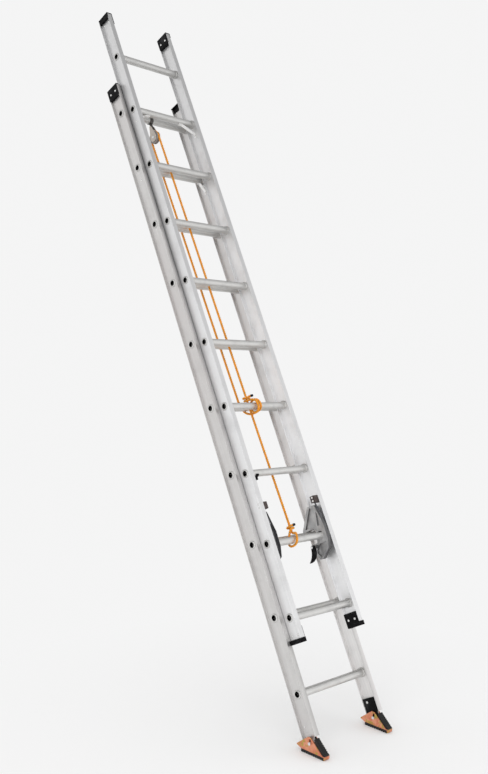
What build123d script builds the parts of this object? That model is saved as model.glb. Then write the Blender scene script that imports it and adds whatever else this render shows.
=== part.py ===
from build123d import *
import os
from math import atan, cos, degrees, hypot, radians, sin, tan

# A two-section aluminium extension ladder, leaning, standing on its shoes.
# Pieces are drawn in the ladder's own frame: X to the climber's right, Y square to the
# rails towards the wall, Z up the rails from the shoe pivots. They are then leaned and lifted
# so that the shoe soles stand on Z = 0 with the origin midway between the shoes.

# Stance
LEAN = 28.0
RAIL_BELOW_PIVOT = 10.0

# Rungs
RUNG_PITCH = 304.8
RUNGS = 10
RUNG_RADIUS = 17.0
RUNG_WALL = 2.0
TREAD_STEP = 4.0
TREAD_TILT = 14.5
TREAD_GROOVES = 5
GROOVE_WIDTH = 1.4
GROOVE_DEPTH = 0.8
GROOVE_PITCH = 4.0
NECK_STEP = 2.0
NECK_WALL = 3.5
COLLAR_STEP = 3.0
COLLAR_LENGTH = 6.0
FLARE_STEP = 3.0
FLARE_LENGTH = 2.5
NECK_CLEARANCE = 0.1

# Rails
BASE_LENGTH = 3083.0
FLY_SHORT = 8.0
BASE_FIRST_RUNG = 195.0
FLY_FIRST_RUNG = 100.0
FLY_RUNG_DROP = 19.0
FLY_START = 1
BASE_WIDTH = 406.0
FLY_INSET = 16.5
BASE_DEPTH = 72.0
FLY_DEPTH = 71.0
WEB = 2.0
FLANGE = 2.5
FLANGE_OUT = 11.0
FLANGE_IN = 14.0
FLANGE_TIP_GAP = 1.5
SLOT = 3.5
RIB = 2.0
RIB_REACH = 6.0
SECTION_ROUND = 0.8

# End caps
CAP_PLATE = 3.0
CAP_SKIRT = 58.0
BASE_INNER_SKIRT = 24.0
CAP_SKIN = 4.0
CAP_OVERHANG = 1.5
CAP_ROUND = 1.5
CAP_GAP = 0.3
CHANNEL_GAP = 0.3
FLY_OUTER_SKIRT = 22.0
FLY_RIVET_DROP = 34.0
FOOT_PLATE = 4.0
FOOT_RIM = 14.0
FOOT_TOE = 4.0
FOOT_ROUND = 3.0

# Rivets
RIVET_RADIUS = 2.4
RIVET_HEAD = 5.0
RIVET_DOME = 2.0
RIVET_CLEARANCE = 0.1

# Shoes
EAR = 3.0
EAR_GAP = 0.6
EAR_FRONT = 67.5
EAR_APEX = 4.5
EAR_FLAT = 7.0
EAR_TOP = 23.5
EAR_ROUND = 3.0
SPUR_TIP = (69.0, -21.5)
SPUR_ROOT = 45.0
HEEL_GAP = 2.57
TOE_FRONT = 74.0
TOE_LIP = 10.2
SOLE = 12.7
SOLE_REAR = 43.0
SOLE_GROOVES = 9
SOLE_GROOVE = 4.0
SOLE_GROOVE_DEPTH = 3.0
TOE_OVERHANG = 1.6
TOE_EDGE = 3.2
TOE_PEAK = (-21.2, 23.2)
TOE_BACK = (-18.5, 19.5)
TOE_REAR = -44.0
TOE_GROOVES = 7
RELIEF_HEIGHT = 30.0
RELIEF_FACE = 20.5
RELIEF_FOOT = 15.0
TOE_GROOVE = 3.0
TOE_GROOVE_DEPTH = 2.0
PAD_INSET = 1.0
BOLT_RADIUS = 4.2
BOLT_CLEARANCE = 0.1
BOLT_SLOT = 13.0
BOLT_HEAD = 6.8
BOLT_HEAD_HEIGHT = 5.0
BOOT_TOP = 79.0
BOOT_THICK = 9.0
BOOT_RIVET_Y = 14.0
BOOT_RIVET_Z = 63.0

# Rung locks
LOCK_RUNG = 1
LOCK_INSET = 37.5
LOCK_THICK = 18.0
LOCK_BOSS = 11.0
LOCK_BOSS_WALL = 6.0
LOCK_CLEARANCE = 0.1
LOCK_SEAT_GAP = 0.35
LOCK_BORDER = 6.0
LOCK_POCKET = 6.0
FLIPPER_INSET = 34.0
FLIPPER_THICK = 12.0
FLIPPER_BOSS = 8.0
FLIPPER_PIVOT = (38.0, -40.6)
PIN_RADIUS = 4.0
PIN_HEAD = 6.0
PIN_HEAD_HEIGHT = 3.0
PIN_CLEARANCE = 0.1
PIN_SHOULDER = 0.4
LEAF = 1.0
LEAF_WIDTH = 8.0
LEAF_LOW = 72.0
LEAF_GAP = 0.3
ANCHOR_LOW = 140.0
ANCHOR_HEIGHT = 30.0
ANCHOR_REACH = 38.0
ANCHOR_DEPTH = 24.0

# Rung braces
BRACE_RUNG = 8
BASE_BRACE_REACH = 22.0
BASE_BRACE_SEAT = 12.0
FLY_BRACE_REACH = 74.0
FLY_BRACE_SEAT = 20.0
BRACE_DROP = 38.0
BRACE_TAB = 20.0
BRACE_WIDTH = 14.0
BRACE_THICK = 3.0

# Pulley
PULLEY_X = -29.0
PULLEY_DROP = 97.0
PITCH_RADIUS = 28.0
SHEAVE_RIM = 30.5
SHEAVE_WIDTH = 16.0
GROOVE_RADIUS = 6.0
AXLE_RADIUS = 4.0
AXLE_CLEARANCE = 0.1
CHEEK = 2.0
CHEEK_GAP = 0.5
CHEEK_RADIUS = 22.0
CHEEK_TOP_RADIUS = 6.0
STRAP = 2.0
STRAP_NECK = 16.0

# Rope
ROPE_RADIUS = 5.0
ROPE_JOIN_GAP = 0.6
SHEAVE_ARC = 27.5
MID_RUNG = 3

# Rope keeper clip
CLIP_RUNG = 2
CLIP_INSET = 47.0
CLIP_WIDTH = 12.0
CLIP_WALL = 5.0
CLIP_OPEN = 150.0
CLIP_TURN = 45.0
CLIP_TAB = 12.0
CLIP_GAP = 0.2


# Places worked out from the driving dimensions
base_bottom = -RAIL_BELOW_PIVOT
base_top = base_bottom + BASE_LENGTH
base_web = BASE_WIDTH / 2
fly_web = base_web - FLY_INSET
base_front = -BASE_DEPTH / 2
base_rear = BASE_DEPTH / 2
slot_rear = base_front + FLANGE + SLOT
fly_rear = (base_front + FLANGE + slot_rear + FLANGE) / 2
fly_front = fly_rear - FLY_DEPTH
fly_y = (fly_front + fly_rear) / 2


def base_rung_z(index):
    return base_bottom + BASE_FIRST_RUNG + index * RUNG_PITCH


def fly_rung_z(index):
    return base_rung_z(index + FLY_START) - FLY_RUNG_DROP


fly_bottom = fly_rung_z(0) - FLY_FIRST_RUNG
fly_length = BASE_LENGTH - FLY_SHORT
fly_top = fly_bottom + fly_length
heel_drop = base_rear * sin(radians(LEAN)) + RAIL_BELOW_PIVOT * cos(radians(LEAN))
shoe_drop = heel_drop + HEEL_GAP
sole_drop = shoe_drop + EAR + SOLE
leaned = Pos(0, 0, sole_drop) * Rot(-LEAN, 0, 0)
upright = Pos(0, 0, sole_drop)
tread_height = RUNG_RADIUS - TREAD_STEP
neck_radius = RUNG_RADIUS - NECK_STEP
bore_radius = neck_radius - NECK_WALL
collar_radius = RUNG_RADIUS + COLLAR_STEP
flare_radius = neck_radius + FLARE_STEP
nodes = {}


def block(x0, x1, y0, y1, z0, z1):
    """A box given by its two limits on each axis."""
    size = (abs(x1 - x0), abs(y1 - y0), abs(z1 - z0))
    return Pos((x0 + x1) / 2, (y0 + y1) / 2, (z0 + z1) / 2) * Box(*size)


def rod(radius, x0, x1, y=0.0, z=0.0):
    """A round bar along X."""
    return Pos((x0 + x1) / 2, y, z) * Cylinder(radius, abs(x1 - x0), rotation=(0, 90, 0))


def flat(x0, x1, y0, y1):
    """A rectangle in plan, given by its limits."""
    return Pos((x0 + x1) / 2, (y0 + y1) / 2) * Rectangle(abs(x1 - x0), abs(y1 - y0))


def both_sides(name, right, place):
    """Keep a right-hand piece and its mirror image as two nodes."""
    nodes[name + "_right"] = place * right
    nodes[name + "_left"] = place * mirror(right, about=Plane.YZ)


def rivet(y, z, head_x, tail_x):
    """A blind rivet along X with a domed head at head_x and an upset tail at tail_x."""
    out = 1 if head_x > tail_x else -1
    shank = rod(RIVET_RADIUS, tail_x, head_x, y, z)
    head = rod(RIVET_HEAD, head_x, head_x + out * RIVET_DOME, y, z)
    head = fillet(head.edges().filter_by(GeomType.CIRCLE).sort_by(Axis.X)[-1 if out > 0 else 0],
                  RIVET_DOME * 0.7)
    tail = rod(RIVET_HEAD - 1, tail_x - out * RIVET_DOME / 2, tail_x, y, z)
    return shank + head + tail


def rivet_hole(y, z, x0, x1):
    return rod(RIVET_RADIUS + RIVET_CLEARANCE, x0, x1, y, z)


# Rails: extruded I-sections. The fly's rear flange runs in the slot behind the base's front flange.
base_inner = base_web - WEB / 2
base_outer = base_web + WEB / 2
fly_inner = fly_web - WEB / 2
fly_outer = fly_web + WEB / 2
base_tip_in = fly_outer + FLANGE_TIP_GAP
base_tip_out = base_web + FLANGE_OUT
fly_tip_in = fly_web - FLANGE_IN
fly_tip_out = fly_web + FLANGE_OUT
fly_guide_out = base_inner - FLANGE_TIP_GAP

base_section = (
    flat(base_inner, base_outer, base_front, base_rear)
    + flat(base_tip_in, base_tip_out, base_front, base_front + FLANGE)
    + flat(base_tip_in, base_tip_out, base_rear - FLANGE, base_rear)
    + flat(base_inner - RIB_REACH, base_inner, slot_rear, slot_rear + RIB)
)
fly_section = (
    flat(fly_inner, fly_outer, fly_front, fly_rear)
    + flat(fly_tip_in, fly_tip_out, fly_front, fly_front + FLANGE)
    + flat(fly_tip_in, fly_guide_out, fly_rear - FLANGE, fly_rear)
)


def rail(section, low, length):
    rounded = fillet(section.vertices(), SECTION_ROUND)
    return Pos(0, 0, low) * extrude(rounded, amount=length)


base_rail = rail(base_section, base_bottom, BASE_LENGTH)
fly_rail = rail(fly_section, fly_bottom, fly_length)
hole_radius = neck_radius + NECK_CLEARANCE
for index in range(RUNGS):
    base_rail -= rod(hole_radius, base_inner - 1, base_outer + 1, 0, base_rung_z(index))
    fly_rail -= rod(hole_radius, fly_inner - 1, fly_outer + 1, fly_y, fly_rung_z(index))


# Rungs: hollow round bars with a flat grooved tread, swaged to the webs and open at both ends.
def rung(web_in, web_out):
    tread_cut = Pos(0, tread_height + RUNG_RADIUS) * Rectangle(4 * RUNG_RADIUS, 2 * RUNG_RADIUS)
    outer = Circle(RUNG_RADIUS) - tread_cut
    first = -(TREAD_GROOVES - 1) / 2 * GROOVE_PITCH
    for groove in range(TREAD_GROOVES):
        outer -= Pos(first + groove * GROOVE_PITCH, tread_height) * Rectangle(GROOVE_WIDTH, 2 * GROOVE_DEPTH)
    hollow = Circle(RUNG_RADIUS - RUNG_WALL) - Pos(0, -RUNG_WALL - GROOVE_DEPTH) * tread_cut
    tube_end = web_in - COLLAR_LENGTH
    bar = extrude(Plane.YZ * Rot(0, 0, TREAD_TILT) * (outer - hollow), amount=tube_end, both=True)
    collar_start = tube_end - RUNG_WALL
    flare_end = web_out + FLARE_LENGTH
    outline = Polyline(
        (collar_start, bore_radius),
        (collar_start, collar_radius - 2),
        (tube_end, collar_radius),
        (web_in, collar_radius),
        (web_in, neck_radius),
        (web_out, neck_radius),
        (web_out, flare_radius),
        (flare_end - 1, flare_radius),
        (flare_end, flare_radius - 1.5),
        (flare_end, bore_radius),
        close=True,
    )
    end = revolve(make_face(outline), Axis.X)
    return bar + end + mirror(end, about=Plane.YZ)


base_rung = rung(base_inner, base_outer)
fly_rung = rung(fly_inner, fly_outer)
for index in range(RUNGS):
    nodes[f"base_rung_{index + 1}"] = leaned * Pos(0, 0, base_rung_z(index)) * base_rung
    nodes[f"fly_rung_{index + 1}"] = leaned * Pos(0, fly_y, fly_rung_z(index)) * fly_rung


# End caps: moulded plugs that close the open ends of the rails, riveted through the webs.
base_rivets = []
fly_rivets = []


def plate_round(shape, axis=Axis.Z):
    """Ease the upright corners of a moulded plate."""
    return fillet(shape.edges().filter_by(axis), CAP_ROUND)


def web_plate(x0, x1, y0, y1, z0, z1):
    """A moulded skirt lying on a web, with eased corners."""
    return fillet(block(x0, x1, y0, y1, z0, z1).edges().filter_by(Axis.X), CAP_ROUND)


base_skirt_low = base_top - CAP_SKIRT
channel_gap = SECTION_ROUND + CHANNEL_GAP
base_channel_front = slot_rear + RIB + channel_gap
base_channel_rear = base_rear - FLANGE - channel_gap
base_cap = plate_round(block(base_tip_in - CAP_OVERHANG, base_tip_out + CAP_OVERHANG,
                             base_front - CAP_OVERHANG, base_rear + CAP_OVERHANG,
                             base_top, base_top + CAP_PLATE))
fly_path = block(0, fly_guide_out + FLANGE_TIP_GAP / 2, 2 * base_front, slot_rear,
                 base_top - 1, base_top + CAP_PLATE + 1)
base_cap -= fly_path
base_cap += web_plate(base_inner - CAP_SKIN, base_inner, base_channel_front, base_channel_rear,
                      base_top - BASE_INNER_SKIRT, base_top + CAP_PLATE / 2)
base_cover = base_tip_out + CAP_OVERHANG
base_cap += web_plate(base_outer, base_cover, base_front + FLANGE + channel_gap,
                      base_channel_rear, base_skirt_low, base_top + CAP_PLATE / 2)
base_cap += web_plate(base_tip_out + CAP_GAP, base_cover, base_front - CAP_OVERHANG,
                      base_rear + CAP_OVERHANG, base_skirt_low, base_top + CAP_PLATE / 2)
cap_rivet_drop = CAP_SKIRT / 2
cap_rivet_step = BASE_DEPTH / 4
for y in (-cap_rivet_step, cap_rivet_step):
    z = base_top - cap_rivet_drop
    hole = rivet_hole(y, z, base_inner - 1, base_cover + 1)
    base_cap -= hole
    base_rail -= hole
    base_rivets.append(rivet(y, z, base_cover, base_inner))
both_sides("base_top_cap", base_cap, leaned)

fly_channel_front = fly_front + FLANGE + channel_gap
fly_channel_rear = fly_rear - FLANGE - channel_gap
fly_cap = plate_round(block(fly_tip_in - CAP_OVERHANG, fly_guide_out,
                            fly_front - CAP_OVERHANG, fly_rear, fly_top, fly_top + CAP_PLATE))
fly_cover_in = fly_tip_in - CAP_OVERHANG
fly_cover_out = fly_tip_out + CAP_OVERHANG
fly_cap += web_plate(fly_cover_in, fly_inner, fly_channel_front, fly_channel_rear,
                     fly_top - CAP_SKIRT, fly_top + CAP_PLATE / 2)
fly_cap += web_plate(fly_cover_in, fly_tip_in - CAP_GAP, fly_front - CAP_OVERHANG, fly_rear,
                     fly_top - CAP_SKIRT, fly_top + CAP_PLATE / 2)
fly_cap += web_plate(fly_outer, fly_cover_out, fly_channel_front, fly_channel_rear,
                     fly_top - FLY_OUTER_SKIRT, fly_top + CAP_PLATE / 2)
fly_cap += web_plate(fly_tip_out + CAP_GAP, fly_cover_out, fly_front - CAP_OVERHANG,
                     fly_channel_rear, fly_top - FLY_OUTER_SKIRT, fly_top + CAP_PLATE / 2)
fly_rivet_step = FLY_DEPTH / 4
for y in (fly_y - fly_rivet_step, fly_y + fly_rivet_step):
    z = fly_top - FLY_RIVET_DROP
    hole = rivet_hole(y, z, fly_cover_in - 1, fly_outer + 1)
    fly_cap -= hole
    fly_rail -= hole
    fly_rivets.append(rivet(y, z, fly_cover_in, fly_outer))
both_sides("fly_top_cap", fly_cap, leaned)

foot_low = fly_bottom - FOOT_PLATE
foot_rear = fly_rear - FLANGE - CAP_GAP
base_clear = base_front - CAP_GAP
fly_foot = block(fly_cover_in, fly_cover_out, fly_front - FOOT_TOE, base_clear, foot_low, fly_bottom)
fly_foot += block(fly_cover_in, fly_cover_out, fly_front - FOOT_TOE, fly_front - CAP_GAP,
                  foot_low, fly_bottom + FOOT_RIM)
fly_foot += block(fly_tip_out + CAP_GAP, fly_cover_out, fly_front - FOOT_TOE, base_clear,
                  foot_low, fly_bottom + FOOT_RIM)
fly_foot += block(fly_cover_in, fly_outer, base_clear, foot_rear, foot_low, fly_bottom)
fly_foot = fillet(fly_foot.edges().filter_by(Axis.Z).group_by(Axis.Y)[0], FOOT_ROUND)
fly_foot += web_plate(fly_cover_in, fly_inner, fly_channel_front, fly_channel_rear,
                      fly_bottom - FOOT_PLATE / 2, fly_bottom + CAP_SKIRT)
fly_foot += web_plate(fly_cover_in, fly_tip_in - CAP_GAP, fly_front, fly_rear,
                      fly_bottom - FOOT_PLATE / 2, fly_bottom + CAP_SKIRT)
for y in (fly_y - fly_rivet_step, fly_y + fly_rivet_step):
    z = fly_bottom + CAP_SKIRT / 2
    hole = rivet_hole(y, z, fly_cover_in - 1, fly_outer + 1)
    fly_foot -= hole
    fly_rail -= hole
    fly_rivets.append(rivet(y, z, fly_cover_in, fly_outer))
both_sides("fly_foot_cap", fly_foot, leaned)


# Shoes: a plated steel stirrup with two pointed ears, swivelling on a bolt through the rail,
# with a ribbed rubber sole and toe. The ears' rear tips are spurs for soft ground, and the
# front edge of the plate is bent down over the sole. Drawn about the pivot, sole level. The
# rail's lower front corner is cut away for the toe.
ear_in = base_tip_in - EAR_GAP
ear_out = base_tip_out + EAR_GAP
shoe_floor = -shoe_drop - EAR
ear_outline = FilletPolyline(
    (-EAR_FRONT, shoe_floor),
    (SPUR_ROOT, shoe_floor),
    SPUR_TIP,
    (EAR_APEX + EAR_FLAT, EAR_TOP),
    (EAR_APEX - EAR_FLAT, EAR_TOP),
    radius=EAR_ROUND,
    close=True,
)
slot_width = 2 * (BOLT_RADIUS + BOLT_CLEARANCE)
ear_slot = Pos(0, BOLT_SLOT / 2) * SlotCenterToCenter(BOLT_SLOT, slot_width, rotation=90)
ear_face = make_face(ear_outline) - ear_slot
stirrup = Pos(ear_out, 0, 0) * extrude(Plane.YZ * ear_face, amount=EAR)
stirrup += Pos(ear_in - EAR, 0, 0) * extrude(Plane.YZ * ear_face, amount=EAR)
stirrup += block(ear_in - EAR, ear_out + EAR, -TOE_FRONT, SOLE_REAR, shoe_floor, -shoe_drop)
stirrup += block(ear_in - EAR, ear_out + EAR, -TOE_FRONT, -TOE_FRONT + EAR, shoe_floor - TOE_LIP, shoe_floor)
both_sides("shoe_stirrup", stirrup, upright)

sole_in = ear_in - EAR + PAD_INSET
sole_out = ear_out + EAR - PAD_INSET
sole_front = -TOE_FRONT + EAR + PAD_INSET
sole = block(sole_in, sole_out, sole_front, SOLE_REAR, shoe_floor - SOLE, shoe_floor)
groove_step = (SOLE_REAR - sole_front) / (SOLE_GROOVES + 1)
for groove in range(SOLE_GROOVES):
    y = sole_front + (groove + 1) * groove_step
    sole -= block(sole_in - 1, sole_out + 1, y - SOLE_GROOVE / 2, y + SOLE_GROOVE / 2,
                  shoe_floor - SOLE - 1, shoe_floor - SOLE + SOLE_GROOVE_DEPTH)

toe_front = -TOE_FRONT - TOE_OVERHANG
toe_edge = -shoe_drop + TOE_EDGE
toe_run = TOE_PEAK[0] - toe_front
toe_slope = (TOE_PEAK[1] - toe_edge) / toe_run
toe_face = make_face(Polyline(
    (toe_front, -shoe_drop),
    (toe_front, toe_edge),
    TOE_PEAK,
    TOE_BACK,
    (TOE_REAR, -shoe_drop),
    close=True,
))
for groove in range(TOE_GROOVES):
    along = (groove + 1) / (TOE_GROOVES + 1) * toe_run
    tread = Rot(0, 0, degrees(atan(toe_slope))) * Rectangle(TOE_GROOVE, 2 * TOE_GROOVE_DEPTH)
    toe_face -= Pos(toe_front + along, toe_edge + toe_slope * along) * tread
toe_pad = Pos(ear_in + CAP_GAP, 0, 0) * extrude(
    Plane.YZ * toe_face, amount=ear_out - ear_in - 2 * CAP_GAP)
both_sides("shoe_pad", Compound(children=[sole, toe_pad]), upright)

boot = web_plate(base_inner - BOOT_THICK, base_inner, base_channel_front, base_channel_rear,
                 base_bottom + CAP_ROUND, BOOT_TOP)
bolt_hole = rod(BOLT_RADIUS + BOLT_CLEARANCE, base_tip_in, base_tip_out)
toe_relief = make_face(Polyline(
    (2 * base_front, base_bottom + RELIEF_HEIGHT),
    (-RELIEF_FACE, base_bottom + RELIEF_HEIGHT),
    (-RELIEF_FOOT, base_bottom - 1),
    (2 * base_front, base_bottom - 1),
    close=True,
))
relief_cut = extrude(Plane.YZ * toe_relief, amount=base_tip_out + 1)
for cut in (bolt_hole, relief_cut):
    boot -= cut
    base_rail -= cut
hole = rivet_hole(BOOT_RIVET_Y, BOOT_RIVET_Z, base_inner - 2 * BOOT_THICK, base_outer + 1)
boot -= hole
base_rail -= hole
base_rivets.append(rivet(BOOT_RIVET_Y, BOOT_RIVET_Z, base_inner - BOOT_THICK, base_outer))
both_sides("shoe_boot", boot, leaned)


def hexagon_x(across, x0, x1):
    """A hexagonal head along X."""
    return Pos(min(x0, x1), 0, 0) * extrude(Plane.YZ * RegularPolygon(across, 6), amount=abs(x1 - x0))


bolt_end_in = ear_in - EAR
bolt_end_out = ear_out + EAR
shoe_bolt = rod(BOLT_RADIUS, bolt_end_in - BOLT_HEAD_HEIGHT - 2, bolt_end_out)
shoe_bolt += hexagon_x(BOLT_HEAD, bolt_end_out + CAP_GAP, bolt_end_out + BOLT_HEAD_HEIGHT)
shoe_bolt += rod(BOLT_RADIUS, bolt_end_out, bolt_end_out + CAP_GAP)
shoe_nut = hexagon_x(BOLT_HEAD, bolt_end_in - BOLT_HEAD_HEIGHT, bolt_end_in - CAP_GAP)
shoe_nut -= rod(BOLT_RADIUS + BOLT_CLEARANCE / 2, bolt_end_in - 2 * BOLT_HEAD_HEIGHT, bolt_end_in)
nodes["shoe_bolts"] = leaned * Compound(children=[shoe_bolt, mirror(shoe_bolt, about=Plane.YZ)])
nodes["shoe_nuts"] = leaned * Compound(children=[shoe_nut, mirror(shoe_nut, about=Plane.YZ)])


# Rung locks: castings that turn on a fly rung, hook over a base rung and carry a hanging flipper.
# Outlines are given as (Y, Z) about the fly rung's centre.
lock_z = fly_rung_z(LOCK_RUNG)
seat_y = -fly_y
tread_angle = radians(TREAD_TILT)
tread_half = (RUNG_RADIUS ** 2 - tread_height ** 2) ** 0.5
rung_crest = tread_height * cos(tread_angle) + tread_half * sin(tread_angle)
hook_z = FLY_RUNG_DROP + rung_crest + LOCK_SEAT_GAP
hook_tip = seat_y + RUNG_RADIUS + 8
lock_inner = fly_inner - LOCK_INSET
lock_outer = lock_inner + LOCK_THICK
wing_front_low = (-35, 40)
wing_front_high = (-16, 130)
lock_outline = FilletPolyline(
    (24, 134),
    (hook_tip, hook_z + 8),
    (hook_tip, hook_z),
    (22, hook_z),
    (22, 6),
    (30, -26),
    (46, -30),
    (50, -46),
    (56, -68),
    (42, -98),
    (26, -100),
    (-22, -64),
    (-34, -24),
    wing_front_low,
    wing_front_high,
    radius=3,
    close=True,
)
lock_face = make_face(lock_outline)
wing_pocket = make_face(Polyline(
    (14, 126),
    (hook_tip - 3 * LOCK_BORDER, hook_z + LOCK_BORDER + 4),
    (8, hook_z + LOCK_BORDER),
    (-8, 112),
    close=True,
))
front_pocket = make_face(Polyline(
    (-14, 102),
    (0, hook_z + LOCK_BORDER),
    (-28, hook_z + LOCK_BORDER),
    close=True,
))
tail_pocket = make_face(Polyline(
    (-20, -34),
    (16, -34),
    (44, -56),
    (46, -70),
    (32, -90),
    (-12, -58),
    close=True,
))
bore_cut = rod(RUNG_RADIUS + LOCK_CLEARANCE, 0, lock_outer + 2 * LOCK_BOSS)
lock = Pos(lock_inner, 0, 0) * extrude(Plane.YZ * lock_face, amount=LOCK_THICK)
for pocket in (wing_pocket, front_pocket, tail_pocket):
    lock -= Pos(lock_inner, 0, 0) * extrude(Plane.YZ * pocket, amount=LOCK_POCKET)
lock += rod(RUNG_RADIUS + LOCK_BOSS_WALL, lock_outer, lock_outer + LOCK_BOSS)
flipper_inner = lock_inner - FLIPPER_INSET
flipper_outer = flipper_inner + FLIPPER_THICK
lug_start = flipper_outer + PIN_SHOULDER
lock += rod(FLIPPER_BOSS, lug_start, lock_outer, *FLIPPER_PIVOT)
lock -= bore_cut
pin_hole = rod(PIN_RADIUS + PIN_CLEARANCE / 2, lug_start - 1, lock_outer + 1, *FLIPPER_PIVOT)
lock -= pin_hole
lock_place = leaned * Pos(0, fly_y, lock_z)
both_sides("rung_lock", lock, lock_place)

pin_end = flipper_inner - PIN_SHOULDER
flipper_pin = rod(PIN_RADIUS, pin_end, lock_outer, *FLIPPER_PIVOT)
flipper_pin += rod(PIN_HEAD, pin_end - PIN_HEAD_HEIGHT, pin_end, *FLIPPER_PIVOT)
both_sides("flipper_pin", flipper_pin, lock_place)

claw_tip = (42, -60)
claw_back = ThreePointArc((-FLIPPER_BOSS, 0), (-4, -36), claw_tip)
claw_belly = ThreePointArc(claw_tip, (16, -32), (FLIPPER_BOSS, 0))
claw_top = ThreePointArc((FLIPPER_BOSS, 0), (0, FLIPPER_BOSS), (-FLIPPER_BOSS, 0))
claw = make_face([claw_back, claw_belly, claw_top])
claw -= Circle(PIN_RADIUS + PIN_CLEARANCE)
flipper = Pos(flipper_inner, *FLIPPER_PIVOT) * extrude(Plane.YZ * claw, amount=FLIPPER_THICK)
both_sides("lock_flipper", flipper, lock_place)

anchor_front = fly_channel_front - fly_y
anchor = web_plate(fly_inner - ANCHOR_REACH, fly_inner, anchor_front, anchor_front + ANCHOR_DEPTH,
                   ANCHOR_LOW, ANCHOR_LOW + ANCHOR_HEIGHT)
for z in (ANCHOR_LOW + ANCHOR_HEIGHT / 4, ANCHOR_LOW + ANCHOR_HEIGHT * 3 / 4):
    y = anchor_front + ANCHOR_DEPTH / 2
    hole = rivet_hole(y, z, fly_inner - 2 * ANCHOR_REACH, fly_outer + 1)
    anchor -= hole
    fly_rail -= Pos(0, fly_y, lock_z) * hole
    fly_rivets.append(Pos(0, fly_y, lock_z) * rivet(y, z, fly_inner - ANCHOR_REACH, fly_outer))
nodes["spring_anchors"] = lock_place * Compound(children=[anchor, mirror(anchor, about=Plane.YZ)])

wing_lean = (wing_front_high[0] - wing_front_low[0]) / (wing_front_high[1] - wing_front_low[1])
leaf_spread = hypot(1, wing_lean)


def leaf_y(z, off):
    """Y of a line parallel to the wing's front edge, off in front of it."""
    return wing_front_low[0] + wing_lean * (z - wing_front_low[1]) - off * leaf_spread


leaf_face = make_face(Polyline(
    (leaf_y(LEAF_LOW, LEAF_GAP), LEAF_LOW),
    (leaf_y(ANCHOR_LOW, LEAF_GAP), ANCHOR_LOW),
    (leaf_y(ANCHOR_LOW, LEAF_GAP + LEAF), ANCHOR_LOW),
    (leaf_y(LEAF_LOW, LEAF_GAP + LEAF), LEAF_LOW),
    close=True,
))
leaf = Pos(lock_outer - LEAF_WIDTH, 0, 0) * extrude(Plane.YZ * leaf_face, amount=LEAF_WIDTH)
both_sides("lock_spring", leaf, lock_place)


# Rung braces: flat bars from the rung's underside to the web.
def brace(web_in, reach, rung_tab, y, z):
    bend = web_in - reach
    seat = z - RUNG_RADIUS - BRACE_THICK / 2
    foot_x = web_in - BRACE_THICK / 2
    path = FilletPolyline(
        (bend - rung_tab, seat),
        (bend, seat),
        (foot_x, seat - BRACE_DROP),
        (foot_x, seat - BRACE_DROP - BRACE_TAB),
        radius=4,
    )
    strip = trace(path, BRACE_THICK)
    return Pos(0, y + BRACE_WIDTH / 2, 0) * extrude(Plane.XZ * strip, amount=BRACE_WIDTH)


base_brace_z = base_rung_z(BRACE_RUNG)
fly_brace_z = fly_rung_z(BRACE_RUNG)
brace_rivet_drop = RUNG_RADIUS + BRACE_THICK / 2 + BRACE_DROP + BRACE_TAB * 0.6
base_brace = brace(base_inner, BASE_BRACE_REACH, BASE_BRACE_SEAT, 0, base_brace_z)
fly_brace = brace(fly_inner, FLY_BRACE_REACH, FLY_BRACE_SEAT, fly_y, fly_brace_z)
hole = rivet_hole(0, base_brace_z - brace_rivet_drop, base_inner - 2 * BRACE_THICK, base_outer + 1)
base_brace -= hole
base_rail -= hole
base_rivets.append(rivet(0, base_brace_z - brace_rivet_drop, base_inner - BRACE_THICK, base_outer))
hole = rivet_hole(fly_y, fly_brace_z - brace_rivet_drop, fly_inner - 2 * BRACE_THICK, fly_outer + 1)
fly_brace -= hole
fly_rail -= hole
fly_rivets.append(rivet(fly_y, fly_brace_z - brace_rivet_drop, fly_inner - BRACE_THICK, fly_outer))
nodes["base_braces"] = leaned * Compound(children=[base_brace, mirror(base_brace, about=Plane.YZ)])
nodes["fly_braces"] = leaned * Compound(children=[fly_brace, mirror(fly_brace, about=Plane.YZ)])
both_sides("base_rail", base_rail, leaned)
both_sides("fly_rail", fly_rail, leaned)
for name, group in (("base_rivets", base_rivets), ("fly_rivets", fly_rivets)):
    nodes[name] = leaned * Compound(children=group + [mirror(one, about=Plane.YZ) for one in group])


# Pulley: a grooved sheave between two cheeks, hung by a strap that is bent round the top base rung.
pulley_rung_z = base_rung_z(RUNGS - 1)
axle_z = pulley_rung_z - PULLEY_DROP
groove = Pos(PITCH_RADIUS, 0) * Circle(GROOVE_RADIUS)
groove += flat(PITCH_RADIUS, 2 * SHEAVE_RIM, -GROOVE_RADIUS, GROOVE_RADIUS)
wheel = flat(AXLE_RADIUS + AXLE_CLEARANCE, SHEAVE_RIM, -SHEAVE_WIDTH / 2, SHEAVE_WIDTH / 2) - groove
sheave = revolve(Plane.XZ * wheel, Axis.Z)
pulley_place = leaned * Pos(PULLEY_X, 0, axle_z)
nodes["pulley_sheave"] = pulley_place * Rot(0, 90, 0) * sheave

cheek_in = SHEAVE_WIDTH / 2 + CHEEK_GAP
cheek_out = cheek_in + CHEEK
cheek_top = PULLEY_DROP - RUNG_RADIUS - STRAP_NECK
cheek_tip = Pos(0, cheek_top - CHEEK_TOP_RADIUS) * Circle(CHEEK_TOP_RADIUS)
cheek_face = make_hull(Circle(CHEEK_RADIUS).edges() + cheek_tip.edges())
cheek_face -= Circle(AXLE_RADIUS + AXLE_CLEARANCE / 2)
cheek = Pos(cheek_in, 0, 0) * extrude(Plane.YZ * cheek_face, amount=CHEEK)
nodes["pulley_cheeks"] = pulley_place * Compound(children=[cheek, mirror(cheek, about=Plane.YZ)])

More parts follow.
